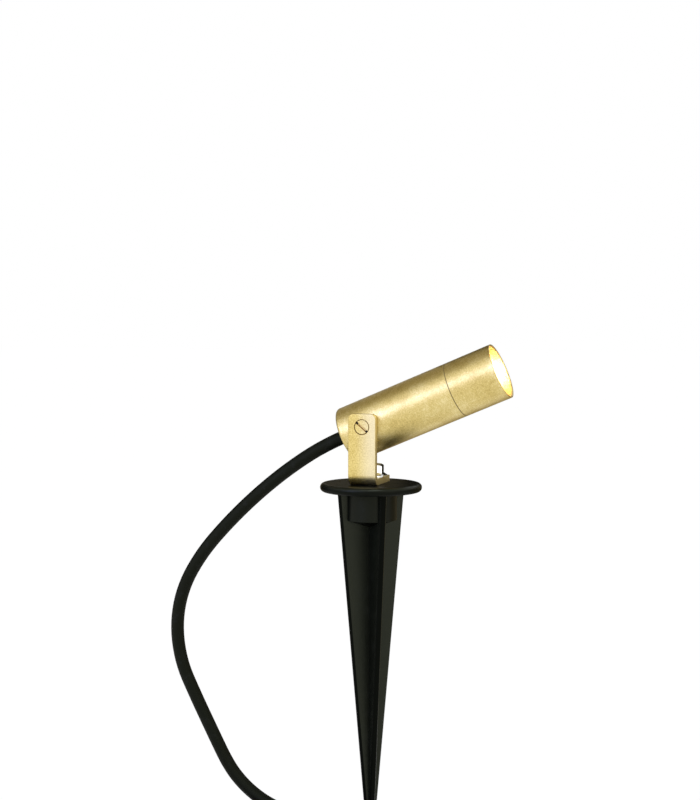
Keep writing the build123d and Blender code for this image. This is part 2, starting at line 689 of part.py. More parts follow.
# The route from the gland, as the cable hangs in the photograph, and then down onto the coil, by hand
EXIT_RUN = 15.7  # how far the cable goes straight on
LANDING_RUN = 8.0  # how far it goes along the coil's outer turn, once there
ROUTE = [
    (BEAM * Pos(REAR, 0, 0)).position,
    (BEAM * Pos(REAR - EXIT_RUN, 0, 0)).position,
    (-52.4, 2.5, 11.7),
    (-73.5, 2.6, -5.1),
    (-93.0, 3.0, -23.5),
    (-110.6, 4.0, -42.9),
    (-124.1, 5.6, -64.8),
    (-129.8, 7.4, -88.6),
    (-127.6, 9.5, -113.1),
    (-118.4, 11.2, -134.2),
    (-107.0, 12.2, -157.2),
    (-96.2, 12.3, -177.6),
    (-85.1, 11.9, -189.1),
    (-71.4, 10.8, -197.3),
    (-56.0, 8.5, -201.4),
    on_coil(LANDING_TURN, COIL_TOP_ROW_Z, LANDING_RUN),
]
# The bare end leaves the coil's lower layer and settles onto the floor
TAIL = [
    on_coil(TAIL_TURN, COIL_LOW_ROW_Z, 0.0),
    (-9.4, -31.2, -210.2),
    (-5.0, -45.0, -211.0),
    (-4.0, -59.0, -211.0),
]
# Each bare core, from where the jacket ends: along the cable, to its own side, and up
CORE_ROUTE = [
    (0, CORE_SPACING, 0),
    (8.0, CORE_SPACING, 0),
    (16.0, 3.3, -1.3),
    (26.0, 3.9, -1.9),
]


def make_cable():
    """The lead, which tilts with the head, and the run below it, cut round the tilt axis."""
    whole, length = tube(ROUTE, CABLE_R)
    section_volume = pi * CABLE_R**2 * length
    print(f"cable route {length:.1f} mm, its volume over section x length:")
    print(f"{whole.volume / section_volume:.5f}")
    print("its bends", rounded_radii(ROUTE))
    across = Pos(0, AXIS_Y, PIVOT_Z) * Rot(90, 0, 0)
    lead = whole & across * Cylinder(LEAD_REACH, 4 * HEAD_R)
    run = whole - across * Cylinder(LEAD_REACH + TILT_GAP, 4 * HEAD_R)
    return lead.solids()[0], run.solids()[0]


def make_coil():
    """The outer shape of the coiled spare length."""
    section = Plane.XZ * Pos(COIL_MEAN_R, 0) * RectangleRounded(COIL_W, COIL_H, CABLE_R)
    return Pos(COIL_X, COIL_Y, COIL_MID_Z) * revolve(section, Axis.Z)


def make_tie(turn):
    """A cable tie round the bundle of turns, with its lock on the outside."""
    inner_w, inner_h = COIL_W + 2 * TIE_GAP, COIL_H + 2 * TIE_GAP
    outer = RectangleRounded(inner_w + 2 * TIE_T, inner_h + 2 * TIE_T, CABLE_R + TIE_T)
    inner = RectangleRounded(inner_w, inner_h, CABLE_R)
    band = extrude(Plane.XZ * (outer - inner), TIE_W / 2, both=True)
    lock_from = inner_w / 2 + TIE_T / 2
    lock = block(
        lock_from,
        lock_from + TIE_LOCK_T,
        -TIE_LOCK_SIDE / 2,
        TIE_LOCK_SIDE / 2,
        -TIE_LOCK_SIDE / 2,
        TIE_LOCK_SIDE / 2,
    )
    lock = fillet(lock.edges().filter_by(Axis.X), TIE_T / 2)
    return (
        Pos(COIL_X, COIL_Y, COIL_MID_Z)
        * Rot(0, 0, turn)
        * Pos(COIL_MEAN_R, 0, 0)
        * (band + lock)
    )


def make_tail():
    """The jacket's last stretch, to where the two cores come out of it."""
    tail, length = tube(TAIL, CABLE_R)
    print(f"tail {length:.1f} mm, its bends", rounded_radii(TAIL))
    return tail


def make_bare_core(side):
    """One insulated core past the jacket's end, with a crimped ferrule on its tip."""
    end, before = Vector(*TAIL[-1]), Vector(*TAIL[-2])
    frame = Plane(origin=end, x_dir=(end - before).normalized(), z_dir=(0, 0, 1)).location
    points = [(ahead, side * out, up) for ahead, out, up in CORE_ROUTE]
    core, _ = tube(points, CORE_R)
    tip, last = Vector(*points[-1]), Vector(*points[-2])
    crimp = Plane(origin=tip, z_dir=tip - last) * (
        Cylinder(FERRULE_R, FERRULE_L, align=(Align.CENTER, Align.CENTER, Align.MIN))
    )
    return frame * core, frame * crimp


# ---- Every piece, in its own file ----

save("spike", make_spike())
save("thread_insert", make_insert())
save("swivel_bolt", make_bolt())

save("bracket", make_bracket())
save("pivot_screw", make_pivot_screw())
save("friction_washer", make_friction_washer())

save("barrel", make_barrel())
save("hood", make_hood())
save("front_glass", make_glass())
save("glass_gasket", BEAM * ring(GASKET_FROM, LEDGE_FROM, GLASS_R, LEDGE_R))
save("spigot_seal", BEAM * ring(SPIGOT_END, GLASS_FROM, SEAL_R, BORE_R))
save("optic", make_optic())
save("optic_holder", make_optic_holder())
save("led_board", make_led_board())
save("led_emitter", make_led())
save("led_screws", make_led_screw(-1), make_led_screw(1))
save("thermal_pad", make_thermal_pad())
save("heat_sink", make_heat_sink())

save("driver_sleeve", make_sleeve())
save("driver_board", make_driver_board())
save("driver_terminal", make_terminal())
save("clamp_screws", make_clamp_screw(-1), make_clamp_screw(1))
save("driver_capacitor", make_capacitor())
save("driver_inductor", make_inductor())
save("driver_chip", make_chip())
save("led_wires", make_led_wire(-1), make_led_wire(1))

save("gland_nut", make_gland_nut())
save("gland_bush", make_gland_bush())
save("input_core_brown", make_input_core(1))
save("input_core_blue", make_input_core(-1))
save("cable_stub", BEAM * rod(REAR, STUB_TO, CABLE_R))

lead, run = make_cable()
save("cable_lead", lead)
save("cable_run", run)
save("cable_coil", make_coil())
save("cable_ties", *[make_tie(turn) for turn in TIE_TURNS])
save("cable_tail", make_tail())
brown_core, brown_ferrule = make_bare_core(1)
blue_core, blue_ferrule = make_bare_core(-1)
save("core_brown", brown_core)
save("core_blue", blue_core)
save("core_ferrules", brown_ferrule, blue_ferrule)
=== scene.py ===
from math import cos, radians, sin

import bpy
from mathutils import Matrix, Vector


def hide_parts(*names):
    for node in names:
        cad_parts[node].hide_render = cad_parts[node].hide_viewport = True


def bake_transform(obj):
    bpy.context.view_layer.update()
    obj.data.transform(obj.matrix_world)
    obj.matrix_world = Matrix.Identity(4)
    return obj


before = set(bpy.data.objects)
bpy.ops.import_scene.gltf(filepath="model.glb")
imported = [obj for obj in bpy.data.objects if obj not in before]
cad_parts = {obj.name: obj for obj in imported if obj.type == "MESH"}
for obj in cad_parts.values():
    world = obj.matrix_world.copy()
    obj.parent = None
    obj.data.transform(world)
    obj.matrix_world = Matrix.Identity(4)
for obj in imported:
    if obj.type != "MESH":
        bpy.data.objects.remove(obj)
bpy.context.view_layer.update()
scene = bpy.context.scene
scene.view_settings.view_transform = "Standard"


# ---- Camera ----
# It stands in front of the lamp, a little to the right and a little above the head, and looks slightly
# down. Everything is in metres, from the centre of the flange's underside.

CAMERA_AT = Vector((0.25467, -0.81125, 0.09871))
CAMERA_RIGHT = Vector((0.949586, 0.313503, 0.001396))
CAMERA_UP = Vector((-0.017876, 0.049698, 0.998604))
CAMERA_LENS = 65.25  # millimetres, for a 36 mm long side

camera = bpy.data.objects.new("camera", bpy.data.cameras.new("camera"))
camera.data.lens = CAMERA_LENS
camera.data.sensor_width = 36.0
camera.data.clip_start = 0.01
facing = Matrix((CAMERA_RIGHT, CAMERA_UP, CAMERA_RIGHT.cross(CAMERA_UP))).transposed()
camera.matrix_world = Matrix.Translation(CAMERA_AT) @ facing.to_4x4()
scene.collection.objects.link(camera)
scene.camera = camera


# ---- Cable ----
# One length of round two-core rubber flex. It leaves the head's rear face, hangs in a long bow to the
# ground at the spike's tip, and its spare length lies there in a tied coil of two layers.

PIVOT = Vector((0.0, 0.0025, 0.039))
TILT = radians(23.0)
BEAM = Vector((cos(TILT), 0.0, sin(TILT)))
REAR = -0.0162  # the head's rear face, counted along the beam from the pivot
EXIT_RUN = 0.0157
CABLE_R = 0.004
COIL_AT = Vector((-0.0612, -0.0430, 0.0))
OUTER_TURN_R = 0.0512
TURN_PITCH = 0.0082
TOP_ROW_Z = -0.2015
LANDING_TURN = 75.0  # degrees, where the cable meets the coil
WOUND_FROM, WOUND_TO, WOUND_STEP = 240, 2085, 15  # degrees of winding
STEPS_IN = ((480, 600), (840, 960))  # where the upper layer moves in by a turn
LAYER_DOWN = (1140, 1260)  # where it drops to the lower layer
STEPS_OUT = ((1440, 1560), (1800, 1920))  # where the lower layer moves out again
JACKET_SIDES = 28


def eased(angle, start, end):
    """0 before start, 1 after end, and smoothly between."""
    share = min(max((angle - start) / (end - start), 0.0), 1.0)
    return share * share * (3 - 2 * share)


def wound(angle):
    """Where the coil is at this angle of winding: inwards in the upper layer, outwards below."""
    inwards = sum(eased(angle, *step) for step in STEPS_IN)
    outwards = sum(eased(angle, *step) for step in STEPS_OUT)
    radius = OUTER_TURN_R - TURN_PITCH * (inwards - outwards)
    bearing = radians(LANDING_TURN + WOUND_FROM - angle)
    height = TOP_ROW_Z - TURN_PITCH * eased(angle, *LAYER_DOWN)
    return COIL_AT + Vector((radius * cos(bearing), radius * sin(bearing), height))


cable_exit = PIVOT + REAR * BEAM
route = [
    cable_exit,
    PIVOT + (REAR - EXIT_RUN) * BEAM,
    (-0.0524, 0.0025, 0.0117),
    (-0.0735, 0.0026, -0.0051),
    (-0.0930, 0.0030, -0.0235),
    (-0.1106, 0.0040, -0.0429),
    (-0.1241, 0.0056, -0.0648),
    (-0.1298, 0.0074, -0.0886),
    (-0.1276, 0.0095, -0.1131),
    (-0.1184, 0.0112, -0.1342),
    (-0.1070, 0.0122, -0.1572),
    (-0.0962, 0.0123, -0.1776),
    (-0.0851, 0.0119, -0.1891),
    (-0.0714, 0.0108, -0.1973),
    (-0.0560, 0.0085, -0.2014),
]
route += [wound(angle) for angle in range(WOUND_FROM, WOUND_TO + 1, WOUND_STEP)]
route += [(-0.0094, -0.0312, -0.2102), (-0.0050, -0.0450, -0.2110), (-0.0040, -0.0590, -0.2110)]


def smooth_line(name, points):
    """The points that a NURBS curve with these control points runs through, as a mesh of edges."""
    curve = bpy.data.curves.new(name, "CURVE")
    curve.dimensions = "3D"
    curve.resolution_u = 6
    spline = curve.splines.new("NURBS")
    spline.points.add(len(points) - 1)
    for knot, place in zip(spline.points, points):
        knot.co = (*place, 1.0)
    spline.order_u = 3
    spline.use_endpoint_u = True
    holder = bpy.data.objects.new(name, curve)
    line = bpy.data.meshes.new_from_object(holder)
    bpy.data.objects.remove(holder)
    return line


class Field:
    """One output of a material's nodes, a number or a colour. Arithmetic on it adds Math nodes."""

    def __init__(self, socket):
        self.socket = socket

    def math(self, operation, *values):
        """What one Math node makes of these values."""
        return node(self.socket.id_data, "ShaderNodeMath", {"operation": operation}, dict(enumerate(values)))

    def __add__(self, other):
        return self.math("ADD", self, other)

    def __sub__(self, other):
        return self.math("SUBTRACT", self, other)

    def __rsub__(self, other):
        return self.math("SUBTRACT", other, self)

    def __mul__(self, other):
        return self.math("MULTIPLY", self, other)

    def __truediv__(self, other):
        return self.math("DIVIDE", self, other)

    __radd__ = __add__
    __rmul__ = __mul__


def node(tree, kind, settings, sockets, output=0):
    """One node of a tree: its settings first, then the values or links of its sockets."""
    made = tree.nodes.new(kind)
    for name, value in settings.items():
        setattr(made, name, value)
    for key, value in sockets.items():
        if isinstance(value, Field):
            tree.links.new(value.socket, made.inputs[key])
        else:
            made.inputs[key].default_value = value
    return Field(made.outputs[output]) if made.outputs else None


def new_tree(name):
    """An empty material, its tree, and where its points are in the row frame."""
    material = bpy.data.materials.new(name)
    material.use_nodes = True
    tree = material.node_tree
    tree.nodes.clear()
    return material, tree, node(tree, "ShaderNodeTexCoord", {}, {}, "Object")


def speckle(tree, place, scale, detail=2.0, roughness=0.5):
    """Noise with about so many grains per metre."""
    sockets = {"Vector": place, "Scale": scale, "Detail": detail, "Roughness": roughness}
    return node(tree, "ShaderNodeTexNoise", {}, sockets)


def stretched(tree, place, scale, turn=(0, 0, 0)):
    """The same points, turned and then stretched, so that a pattern on them runs one way."""
    turned = node(tree, "ShaderNodeMapping", {}, {"Vector": place, "Rotation": turn})
    return node(tree, "ShaderNodeMapping", {}, {"Vector": turned, "Scale": scale})


def stepped(tree, value, low, high):
    """0 below low, 1 above high."""
    sockets = {"Value": value, "From Min": low, "From Max": high}
    return node(tree, "ShaderNodeMapRange", {"interpolation_type": "SMOOTHSTEP"}, sockets)


def mixed(tree, share, first, second):
    """A colour between two."""
    sockets = {"Factor": share, "A": first, "B": second}
    made = node(tree, "ShaderNodeMix", {"data_type": "RGBA"}, {})
    mix = made.socket.node
    for socket in mix.inputs:
        if socket.name in sockets and socket.enabled:
            value = sockets[socket.name]
            if isinstance(value, Field):
                tree.links.new(value.socket, socket)
            else:
                socket.default_value = value if socket.name == "Factor" else (*value, 1)
    return Field(next(s for s in mix.outputs if s.enabled))


# Flat black for painted shade, mixed into a surface where it should look shaded.
PAINTED_SHADE_BLACK = (0.0015, 0.0018, 0.0014, 1)


def finished(tree, height=None, depth=0.0, painted_shade=None, **surface):
    """The surface: its sockets by name, a relief in metres, and the share of it that is painted shade in
    flat black.
    """
    sockets = {name.replace("_", " "): value for name, value in surface.items()}
    if height is not None:
        sockets["Normal"] = node(tree, "ShaderNodeBump", {}, {"Height": height, "Distance": depth})
    shader = node(tree, "ShaderNodeBsdfPrincipled", {}, sockets)
    # Painted shade: a flat black diffuse mixed in by the given share.
    if painted_shade is not None:
        matt = node(tree, "ShaderNodeBsdfDiffuse", {}, {"Color": PAINTED_SHADE_BLACK})
        shader = node(tree, "ShaderNodeMixShader", {}, {"Fac": painted_shade, 1: shader, 2: matt})
    node(tree, "ShaderNodeOutputMaterial", {}, {"Surface": shader})


def rubber(name, shade):
    """Matt black rubber: fine moulded grain, a little dust, duller and glossier patches."""
    material, tree, place = new_tree(name)
    grain = speckle(tree, place, 5200.0)
    dust = stepped(tree, speckle(tree, place, 260.0, 5.0, 0.65), 0.52, 0.74)
    finished(
        tree,
        grain,
        0.00003,
        Base_Color=mixed(tree, dust * 0.3, shade, (0.028, 0.028, 0.026)),
        Roughness=0.5 + grain * 0.12 + dust * 0.15,
        Specular_IOR_Level=0.125,
        Specular_Tint=(0.95, 1.0, 0.60, 1.0),
    )
    return material


cable_rubber = rubber("cable_rubber", (0.0030, 0.0036, 0.0026))


def round_jacket(material):
    """A node tree that sweeps a circle along an object's edges."""
    tree = bpy.data.node_groups.new("round_jacket", "GeometryNodeTree")
    tree.interface.new_socket("Geometry", in_out="INPUT", socket_type="NodeSocketGeometry")
    tree.interface.new_socket("Radius", in_out="INPUT", socket_type="NodeSocketFloat")
    tree.interface.new_socket("Sides", in_out="INPUT", socket_type="NodeSocketInt")
    tree.interface.new_socket("Geometry", in_out="OUTPUT", socket_type="NodeSocketGeometry")
    given = tree.nodes.new("NodeGroupInput").outputs
    line = node(tree, "GeometryNodeMeshToCurve", {}, {"Mesh": Field(given["Geometry"])})
    profile = node(
        tree,
        "GeometryNodeCurvePrimitiveCircle",
        {},
        {"Resolution": Field(given["Sides"]), "Radius": Field(given["Radius"])},
    )
    sockets = {"Curve": line, "Profile Curve": profile, "Fill Caps": True}
    swept = node(tree, "GeometryNodeCurveToMesh", {}, sockets)
    smooth = node(tree, "GeometryNodeSetShadeSmooth", {}, {"Geometry": swept})
    real = node(tree, "GeometryNodeRealizeInstances", {}, {"Geometry": smooth})
    painted = node(tree, "GeometryNodeSetMaterial", {}, {"Geometry": real, "Material": material})
    node(tree, "NodeGroupOutput", {}, {0: painted})
    return tree


def shaped(name, mesh, tree, **inputs):
    """The plain mesh that a node tree makes of a mesh, as an object at the origin."""
    piece = bpy.data.objects.new(name, mesh)
    scene.collection.objects.link(piece)
    modifier = piece.modifiers.new(name, "NODES")
    modifier.node_group = tree
    for socket in tree.interface.items_tree:
        if socket.in_out == "INPUT" and socket.name in inputs:
            modifier[socket.identifier] = inputs[socket.name]
    evaluated = piece.evaluated_get(bpy.context.evaluated_depsgraph_get())
    made = bpy.data.meshes.new_from_object(evaluated)
    piece.modifiers.remove(modifier)
    piece.data = made
    return piece


cable_line = smooth_line("cable_line", route)
cable = shaped("cable", cable_line, round_jacket(cable_rubber), Radius=CABLE_R, Sides=JACKET_SIDES)
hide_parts("cable_lead", "cable_run", "cable_coil", "cable_tail")
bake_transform(cable)


# ---- Bare end and ties ----
# Two insulated cores leave the jacket's end, each with a crimped tinned ferrule, as supplied for a
# junction box. Two nylon ties hold the coil, with fine teeth across the strap's outside.


def dressed(name, material):
    """Gives a piece of the frame its finish."""
    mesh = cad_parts[name].data
    mesh.materials.clear()
    mesh.materials.append(material)


def sheathing(name, shade):
    """Glossy extruded insulation with a faint haze."""
    material, tree, place = new_tree(name)
    haze = speckle(tree, place, 900.0, 3.0)
    finished(
        tree,
        haze,
        0.00001,
        Base_Color=mixed(tree, haze * 0.3, shade, [min(1.0, 1.5 * part + 0.02) for part in shade]),
        Roughness=0.28 + haze * 0.15,
    )
    return material


def crimped_tin():
    """Tinned copper, dented by the crimping jaws."""
    material, tree, place = new_tree("tinned_copper")
    dents = speckle(tree, place, 1600.0, 1.0)
    finished(
        tree,
        dents,
        0.00008,
        Base_Color=mixed(tree, dents, (0.62, 0.60, 0.56), (0.80, 0.79, 0.76)),
        Metallic=1.0,
        Roughness=0.22 + dents * 0.2,
    )
    return material


def black_nylon():
    """Moulded black nylon, toothed along the strap."""
    material, tree, place = new_tree("tie_nylon")
    teeth = node(
        tree,
        "ShaderNodeTexWave",
        {"wave_type": "BANDS", "bands_direction": "Z"},
        {"Vector": place, "Scale": 260.0},
    )
    grain = speckle(tree, place, 3000.0)
    finished(
        tree,
        teeth + grain * 0.2,
        0.00012,
        Base_Color=mixed(tree, grain * 0.6, (0.012, 0.012, 0.012), (0.03, 0.03, 0.03)),
        Roughness=0.38 + grain * 0.15,
    )
    return material


dressed("core_brown", sheathing("core_brown", (0.115, 0.035, 0.010)))
dressed("core_blue", sheathing("core_blue", (0.010, 0.075, 0.36)))
dressed("core_ferrules", crimped_tin())
dressed("cable_ties", black_nylon())


# ---- Ground spike ----
# One injection moulding in black plastic. Its skin is finely spark-eroded, satin rather than glossy,
# with soft flow marks down the blades and some rubbed dust in the grain.

# Painted shade in flat black darkens the blades' outer edges, most of the flange and the boss under it.
BLADE_TURN = radians(39.5)  # the bearing of one blade, round from the front
BLADE_R = 0.0208
BLADE_TIP_R = 0.00205
BLADE_LENGTH = 0.206
BOSS_FLOOR_Z = -0.0219  # at the axis, from where it slopes up to the boss's side
BOSS_FLOOR_SLOPE = 0.344
BOSS_FLOOR_SOFT = 0.0001
BOSS_SIDE_R = (0.0155, 0.0158)  # just outside the boss
RIM_R = (0.0270, 0.0282)  # where the flange's top turns down into its rim
RIM_LINE_Z = (0.0026, 0.0040)  # above which the rim still shines
UNDERSIDE_Z = (-0.0006, -0.0002)  # where the flange ends and the boss and blades start
STRIP_NEAR, STRIP_FAR = 0.0009, 0.0013  # the strip of painted shade, from a blade's edge and from its middle
# How much painted shade lies on the blades' edges, the boss, the flange and its rim, and how much is lifted
# on the rim's line.
STRIP_PAINTED_SHADE, BOSS_PAINTED_SHADE, FLANGE_PAINTED_SHADE, RIM_PAINTED_SHADE, RIM_SHINE = 0.85, 0.35, 0.45, 0.2, 0.65


def vectors(tree, operation, *values, output="Vector"):
    """One step of vector arithmetic."""
    return node(tree, "ShaderNodeVectorMath", {"operation": operation}, dict(enumerate(values)), output)


def share_along(tree, place, aim):
    """How far a point lies from the origin in one direction."""
    return vectors(tree, "DOT_PRODUCT", place, aim, output="Value")


def part_of(tree, place, axis):
    """One of a point's three measures."""
    return node(tree, "ShaderNodeSeparateXYZ", {}, {"Vector": place}, axis)


def blade_edge_shade(tree, place):
    """The blades' outer edges, darkened by a strip of painted shade."""
    bearings = (BLADE_TURN, BLADE_TURN + radians(90.0))
    near, aside = (share_along(tree, place, (sin(turn), -cos(turn), 0.0)) for turn in bearings)
    reach = near.math("MAXIMUM", near.math("ABSOLUTE", near), aside.math("ABSOLUTE", aside))
    height = part_of(tree, place, "Z")
    outline = BLADE_R + height * ((BLADE_R - BLADE_TIP_R) / BLADE_LENGTH)
    edge = stepped(tree, reach - outline, -STRIP_FAR, -STRIP_NEAR)
    below = 1 - stepped(tree, height, *UNDERSIDE_Z)
    return edge * below * (1 - stepped(tree, aside, STRIP_NEAR, STRIP_FAR))


def flange_and_boss_shade(tree, place):
    """Painted shade on the flange and on the boss under it, lifted on a line round the flange's upper rim.
    """
    height = part_of(tree, place, "Z")
    flat = vectors(tree, "MULTIPLY", place, (1.0, 1.0, 0.0))
    radius = vectors(tree, "LENGTH", flat, output="Value")
    rim = stepped(tree, radius, *RIM_R)
    line = rim * stepped(tree, height, *RIM_LINE_Z)
    on_flange = stepped(tree, height, *UNDERSIDE_Z)
    flange = on_flange * (FLANGE_PAINTED_SHADE + rim * RIM_PAINTED_SHADE - line * RIM_SHINE)
    over_slope = height - radius * BOSS_FLOOR_SLOPE
    above_floor = stepped(
        tree, over_slope, BOSS_FLOOR_Z - BOSS_FLOOR_SOFT, BOSS_FLOOR_Z + BOSS_FLOOR_SOFT
    )
    boss = above_floor * (1 - on_flange)
    return flange + boss * (1 - stepped(tree, radius, *BOSS_SIDE_R)) * BOSS_PAINTED_SHADE


def moulded_black():
    """Pebbled black plastic with flow marks, dust in its grain, and painted shade in flat black on the
    blades' edges, the flange and the boss.
    """
    material, tree, place = new_tree("spike_plastic")
    pebble = speckle(tree, place, 2600.0, 2.0)
    flow = speckle(tree, stretched(tree, place, (60.0, 60.0, 9.0)), 1.0, 4.0, 0.6)
    dust = stepped(tree, speckle(tree, place, 120.0, 6.0, 0.7), 0.5, 0.78)
    black = mixed(tree, flow, (0.0016, 0.0022, 0.0014), (0.0040, 0.0052, 0.0034))
    finished(
        tree,
        pebble + flow * 0.4,
        0.00007,
        # Painted shade: flat black on the blades' outer edges, the flange and the boss under the flange.
        blade_edge_shade(tree, place) * STRIP_PAINTED_SHADE + flange_and_boss_shade(tree, place),
        Base_Color=mixed(tree, dust * 0.25, black, (0.020, 0.022, 0.018)),
        Roughness=0.29 + pebble * 0.10 + dust * 0.14,
        Specular_IOR_Level=0.25,
        Specular_Tint=(0.95, 1.0, 0.72, 1.0),
    )
    return material


dressed("spike", moulded_black())


# ---- Threaded insert and swivel bolt ----
# The insert is a machined brass bush moulded into the boss. The bolt is a polished stainless flange
# bolt, cold-formed, with faint lines round it and a few rubbed patches.


def polished_stainless():
    """Bright stainless steel, a little duller where it is rubbed."""
    material, tree, place = new_tree("stainless")
    drawn = speckle(tree, stretched(tree, place, (900.0, 900.0, 5200.0)), 1.0, 2.0)
    wear_and_sheen = stepped(tree, speckle(tree, place, 700.0, 4.0, 0.6), 0.45, 0.8)
    finished(
        tree,
        drawn,
        0.000006,
        Base_Color=mixed(tree, wear_and_sheen, (0.78, 0.78, 0.76), (0.86, 0.86, 0.85)),
        Metallic=1.0,
        Roughness=0.08 + drawn * 0.05 + wear_and_sheen * 0.08,
    )
    return material


def machined_brass():
    """Bare turned brass with fine rings."""
    material, tree, place = new_tree("brass_insert")
    rings = speckle(tree, stretched(tree, place, (400.0, 400.0, 9000.0)), 1.0, 2.0)
    finished(
        tree,
        rings,
        0.00001,
        Base_Color=mixed(tree, rings, (0.62, 0.42, 0.12), (0.78, 0.58, 0.22)),
        Metallic=1.0,
        Roughness=0.22 + rings * 0.1,
    )
    return material


dressed("thread_insert", machined_brass())
dressed("swivel_bolt", polished_stainless())


# ---- Brass bracket, barrel and hood ----
# All solid brass, bead-blasted under a thin clear coat. The bracket is a folded strip. The barrel and
# hood are turned from bar, so very fine rings still show through the blasting.

# The bracket and pivot screw carry a painted highlight towards +X, painted shade round the screw's head and
# slot, and painted shadow in the slot's ends.
BRASS_DARK = (0.54, 0.395, 0.110)
BRASS_MID = (0.70, 0.545, 0.185)
BRASS_PALE = (0.84, 0.70, 0.330)
BRASS_SHEEN_PAINTED = (0.86, 0.77, 0.50)
BRASS_GRIME = (0.13, 0.080, 0.022)  # what has settled in the seam
STRIP_DARK = (0.52, 0.375, 0.082)
STRIP_PALE = (0.78, 0.615, 0.195)
# Painted shade in the gap round the pivot screw's head and along its slot's lips, and painted shadow in the
# slot's ends.
SCREW_SHADE_BROWN = (0.40, 0.21, 0.035)
SLOT_END_SHADOW = (0.010, 0.007, 0.004)
COAT_ROUGHNESS = 0.3
SEAM = 0.0553  # where the hood meets the barrel, counted along the beam from the pivot
SEAM_GRIME = 0.00022  # how far to each side dirt has settled in it
THREAD_PITCH = 0.0015
THREAD_RELIEF = 6  # how much deeper it is than the turned rings
SPIGOT_FROM = (SEAM + 0.0006, SEAM + 0.0008)
SPIGOT_R = (0.0150, 0.0152)
SCREW_RING_R = 0.00435  # the gap round the pivot screw's head
SCREW_RING_W = (0.00012, 0.00040)  # to each side of it, where the painted shade fades out
SCREW_EDGE_FADE = 0.0003
SLOT_TURN = radians(40.0)
SLOT_HALF_W = 0.0005
SLOT_FADE = (0.00050, 0.00075)
SLOT_LIP_W = (0.00008, 0.00035)
SLOT_END = (0.0027, 0.0034)  # from the screw's axis, where the slot's painted shadow begins


def levelled(tree, place):
    """The same points, turned so that the beam runs along X."""
    return stretched(tree, place, (1.0, 1.0, 1.0), (0.0, TILT, 0.0))


def brass_tone(tree, place, grain):
    """Fine speckle on slow, cloudy changes of colour, as blasted brass has."""
    cloud = speckle(tree, place, 70.0, 3.0, 0.6)
    tone = stepped(tree, cloud * 0.35 + grain * 0.65, 0.34, 0.66)
    deep = mixed(tree, stepped(tree, tone, 0.0, 0.5), BRASS_DARK, BRASS_MID)
    return mixed(tree, stepped(tree, tone, 0.5, 1.0), deep, BRASS_PALE)


def strip_tone(tree, place, grain):
    """The same speckle on rolled strip, a redder alloy than the bar."""
    cloud = speckle(tree, place, 90.0, 3.0, 0.6)
    tone = stepped(tree, cloud * 0.3 + grain * 0.7, 0.34, 0.66)
    return mixed(tree, tone, STRIP_DARK, STRIP_PALE)


def pivot_painted_shade(tree, place):
    """Painted shade in the gap round the pivot screw's head and along its slot's lips, and painted shadow in
    the slot's two ends.
    """
    flat = vectors(tree, "MULTIPLY", vectors(tree, "SUBTRACT", place, PIVOT), (1.0, 0.0, 1.0))
    out = vectors(tree, "LENGTH", flat, output="Value")
    ring = 1 - stepped(tree, out.math("ABSOLUTE", out - SCREW_RING_R), *SCREW_RING_W)
    run = share_along(tree, flat, (cos(SLOT_TURN), 0.0, -sin(SLOT_TURN)))
    aside = share_along(tree, flat, (sin(SLOT_TURN), 0.0, cos(SLOT_TURN)))
    from_axis = aside.math("ABSOLUTE", aside)
    in_slot = 1 - stepped(tree, from_axis, *SLOT_FADE)
    lips = 1 - stepped(tree, from_axis.math("ABSOLUTE", from_axis - SLOT_HALF_W), *SLOT_LIP_W)
    at_end = stepped(tree, run.math("ABSOLUTE", run), *SLOT_END)
    inside = 1 - stepped(tree, out, SCREW_RING_R, SCREW_RING_R + SCREW_EDGE_FADE)
    return ring.math("MAXIMUM", ring, lips * inside) * 0.85, in_slot * at_end * inside


def blasted_brass(name):
    """Flat strip and small parts: mottled, with the dents of the beads, a painted highlight paler towards
    one edge, and painted shade round the pivot screw.
    """
    material, tree, place = new_tree(name)
    grain = speckle(tree, place, 1200.0, 3.0, 0.6)
    across = part_of(tree, place, "X")
    # Painted highlight: the strip turns paler towards +X.
    wear_and_sheen = stepped(tree, across + grain * 0.004, -0.003, 0.009)
    # Painted shade round the screw and along its slot, and painted shadow in the slot's ends.
    ring, ends = pivot_painted_shade(tree, place)
    clean = mixed(tree, wear_and_sheen * 0.5, strip_tone(tree, place, grain), BRASS_SHEEN_PAINTED)
    with_painted_shade = mixed(tree, ring, clean, SCREW_SHADE_BROWN)
    finished(
        tree,
        grain,
        0.00006,
        Base_Color=mixed(tree, ends, with_painted_shade, SLOT_END_SHADOW),
        Metallic=1 - ends * 0.8,
        Roughness=0.38 + grain * 0.12 + ends * 0.3,
        Coat_Weight=0.3 - ends * 0.3,
        Coat_Roughness=COAT_ROUGHNESS,
    )
    return material


def along_beam(tree, place):
    """How far along the beam a point is, and its place across the beam."""
    centred = vectors(tree, "SUBTRACT", place, PIVOT)
    station = share_along(tree, centred, BEAM)
    axial = node(tree, "ShaderNodeVectorMath", {"operation": "SCALE"}, {0: BEAM, "Scale": station})
    return station, vectors(tree, "SUBTRACT", centred, axial)


